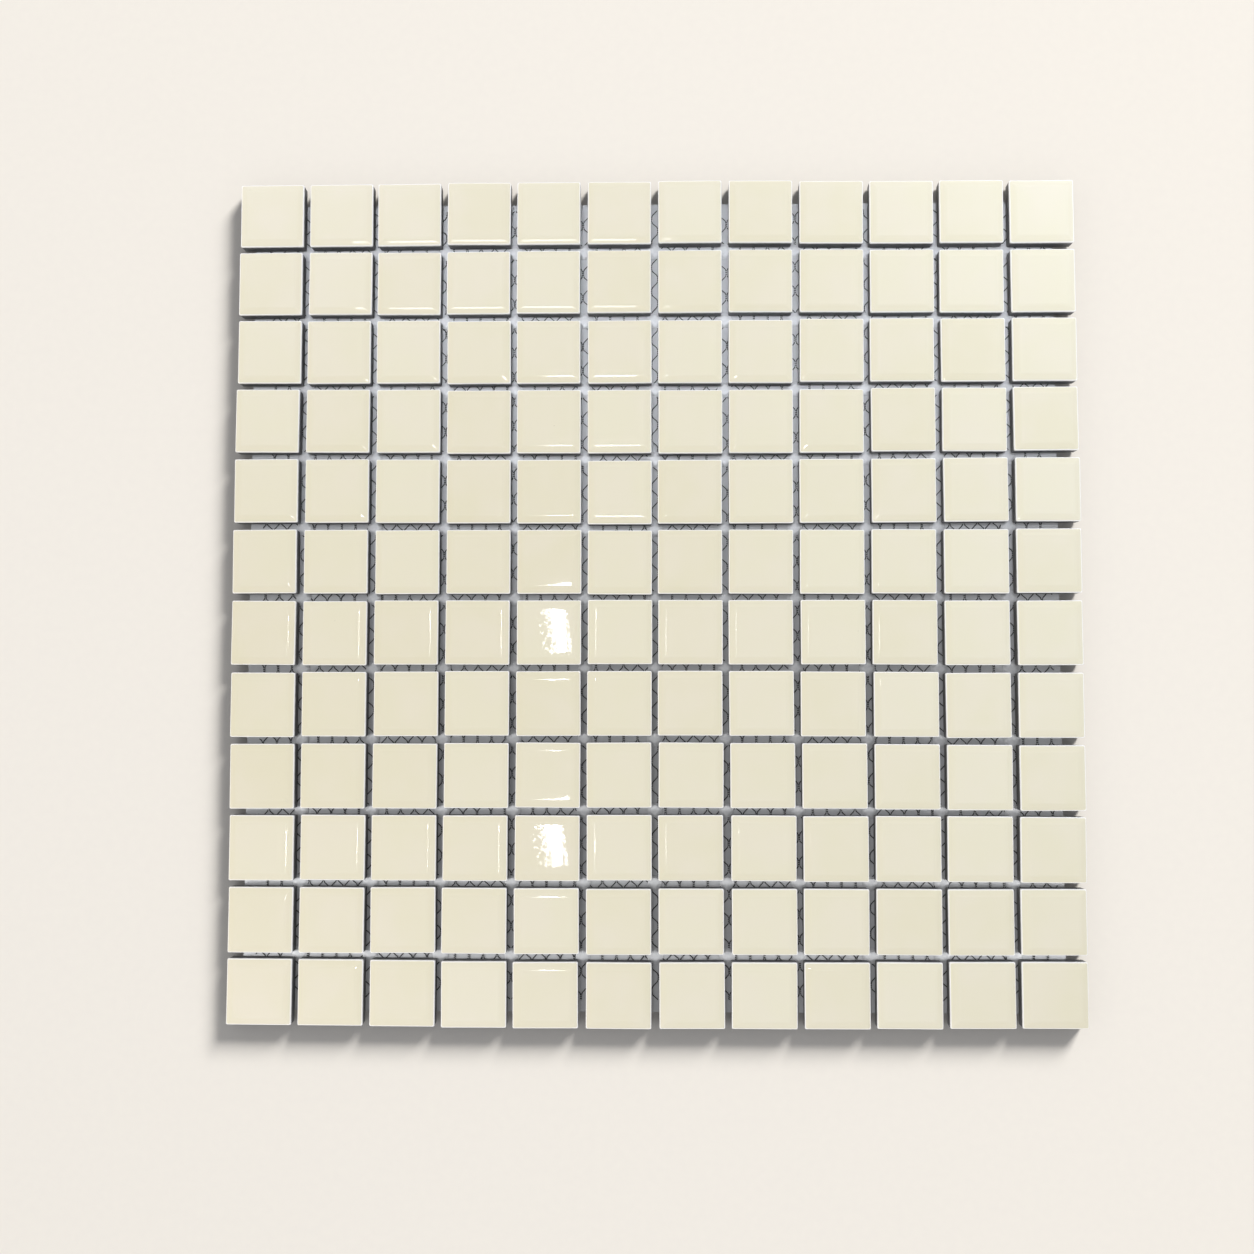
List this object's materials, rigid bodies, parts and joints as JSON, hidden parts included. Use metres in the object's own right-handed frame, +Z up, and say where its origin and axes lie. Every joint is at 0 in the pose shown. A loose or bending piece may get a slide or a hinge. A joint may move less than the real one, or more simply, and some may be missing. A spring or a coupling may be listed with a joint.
{
  "type": "mosaic tile sheet",
  "caption": "Square sheet of small glazed cream tiles in a grid with open joints, held by a knitted net and adhesive dots on the back.",
  "frame": {"origin": "centre of the sheet's underside, where the net meets the bed", "axes": "+Z up out of the glazed faces, +X to the right along a tile row, +Y up the sheet along the straight threads of the net"},
  "size_m": [0.3033, 0.3034, 0.0064],
  "materials": {
    "glazed_tile": "gloss glaze",
    "backing_net": "knitted polyester thread",
    "glue": "dried white adhesive"
  },
  "bodies": {
    "root": {"tile_row_01": "glazed_tile", "tile_row_02": "glazed_tile", "tile_row_03": "glazed_tile", "tile_row_04": "glazed_tile", "tile_row_05": "glazed_tile", "tile_row_06": "glazed_tile", "tile_row_07": "glazed_tile", "tile_row_08": "glazed_tile", "tile_row_09": "glazed_tile", "tile_row_10": "glazed_tile", "tile_row_11": "glazed_tile", "tile_row_12": "glazed_tile", "net_strip_01": "backing_net", "net_strip_02": "backing_net", "net_strip_03": "backing_net", "net_strip_04": "backing_net", "net_strip_05": "backing_net", "net_strip_06": "backing_net", "net_strip_07": "backing_net", "net_strip_08": "backing_net", "net_strip_09": "backing_net", "net_strip_10": "backing_net", "net_strip_11": "backing_net", "net_strip_12": "backing_net", "net_strip_13": "backing_net", "net_strip_14": "backing_net", "net_strip_15": "backing_net", "net_strip_16": "backing_net", "net_strip_17": "backing_net", "net_strip_18": "backing_net", "net_strip_19": "backing_net", "glue_dots": "glue"}
  },
  "joints": []
}
